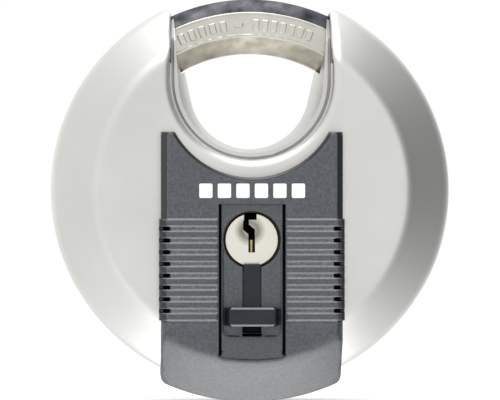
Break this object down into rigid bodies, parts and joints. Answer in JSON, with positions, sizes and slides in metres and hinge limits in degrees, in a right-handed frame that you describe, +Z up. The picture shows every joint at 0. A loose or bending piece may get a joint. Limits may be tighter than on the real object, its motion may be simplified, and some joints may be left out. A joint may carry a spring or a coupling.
{
  "type": "disc padlock",
  "caption": "Round shrouded padlock with a C-shaped shackle that turns inside a stainless disc, a geared pin cylinder and a plastic front cover with a sliding keyway shutter.",
  "frame": {"origin": "on the disc's axis, at the centre of the flat back face", "axes": "+Z up towards the throat and shackle, -Y out of the front face and keyway, +X to the right seen from the front"},
  "size_m": [0.07, 0.0312, 0.0706],
  "materials": {
    "shell_steel": "satin stainless sheet",
    "collar_steel": "satin plated collar",
    "cast_zinc": "die-cast zinc, as cast",
    "shackle_steel": "hardened steel, plated and lightly textured",
    "plated_steel": "zinc-plated steel",
    "spring_steel": "bright spring wire",
    "brass": "machined brass",
    "plug_nickel": "satin nickel plate",
    "cover_plastic": "fine moulded texture, slate grey",
    "shutter_plastic": "smooth moulded, dark slate"
  },
  "bodies": {
    "lock_body": {"front_shell": "shell_steel", "rear_shell": "shell_steel", "throat_collar": "collar_steel", "front_core": "cast_zinc", "rear_core": "cast_zinc", "core_screws": "plated_steel", "rotor_axle": "plated_steel", "axle_clip": "spring_steel", "cylinder_housing": "brass", "housing_screws": "plated_steel", "chamber_cap": "brass", "pin_spring_1": "spring_steel", "pin_spring_2": "spring_steel", "pin_spring_3": "spring_steel", "pin_spring_4": "spring_steel", "front_cover": "cover_plastic", "cover_screws": "plated_steel"},
    "shackle": {"shackle": "shackle_steel", "rotor_plate": "cast_zinc", "rotor_dowels": "plated_steel", "rotor_gear": "brass"},
    "plug": {"plug": "plug_nickel", "plug_pinion": "brass", "pinion_screw": "plated_steel"},
    "shutter": {"key_shutter": "shutter_plastic"},
    "key_pin_1": {"key_pin_1": "brass"},
    "driver_pin_1": {"driver_pin_1": "plug_nickel"},
    "key_pin_2": {"key_pin_2": "brass"},
    "driver_pin_2": {"driver_pin_2": "plug_nickel"},
    "key_pin_3": {"key_pin_3": "brass"},
    "driver_pin_3": {"driver_pin_3": "plug_nickel"},
    "key_pin_4": {"key_pin_4": "brass"},
    "driver_pin_4": {"driver_pin_4": "plug_nickel"}
  },
  "joints": [
    {"name": "shackle_turn", "type": "hinge", "parent": "lock_body", "child": "shackle", "pos_m": [0, -0.013, 0], "axis": [0, -1, 0], "range_deg": [0, 75]},
    {"name": "plug_turn", "type": "hinge", "parent": "lock_body", "child": "plug", "pos_m": [0, -0.02, -0.0087], "axis": [0, -1, 0], "range_deg": [-75, 0]},
    {"name": "shutter_slide", "type": "slide", "parent": "lock_body", "child": "shutter", "axis": [0, 0, 1], "range_m": [0, 0.0086]},
    {"name": "key_pin_1_slide", "type": "slide", "parent": "plug", "child": "key_pin_1", "axis": [0, 0, 1], "range_m": [0, 0.001]},
    {"name": "key_pin_2_slide", "type": "slide", "parent": "plug", "child": "key_pin_2", "axis": [0, 0, 1], "range_m": [0, 0.001]},
    {"name": "key_pin_3_slide", "type": "slide", "parent": "plug", "child": "key_pin_3", "axis": [0, 0, 1], "range_m": [0, 0.001]},
    {"name": "key_pin_4_slide", "type": "slide", "parent": "plug", "child": "key_pin_4", "axis": [0, 0, 1], "range_m": [0, 0.001]},
    {"name": "driver_pin_1_slide", "type": "slide", "parent": "lock_body", "child": "driver_pin_1", "axis": [0, 0, -1], "range_m": [0, 0.0015], "stiffness_N_per_m": 120, "springref_m": -0.002, "deforming": ["pin_spring_1"]},
    {"name": "driver_pin_2_slide", "type": "slide", "parent": "lock_body", "child": "driver_pin_2", "axis": [0, 0, -1], "range_m": [0, 0.0015], "stiffness_N_per_m": 120, "springref_m": -0.002, "deforming": ["pin_spring_2"]},
    {"name": "driver_pin_3_slide", "type": "slide", "parent": "lock_body", "child": "driver_pin_3", "axis": [0, 0, -1], "range_m": [0, 0.0015], "stiffness_N_per_m": 120, "springref_m": -0.002, "deforming": ["pin_spring_3"]},
    {"name": "driver_pin_4_slide", "type": "slide", "parent": "lock_body", "child": "driver_pin_4", "axis": [0, 0, -1], "range_m": [0, 0.0015], "stiffness_N_per_m": 120, "springref_m": -0.002, "deforming": ["pin_spring_4"]}
  ],
  "couplings": [
    {"joint": "plug_turn", "follows": "shackle_turn", "ratio": -1}
  ]
}
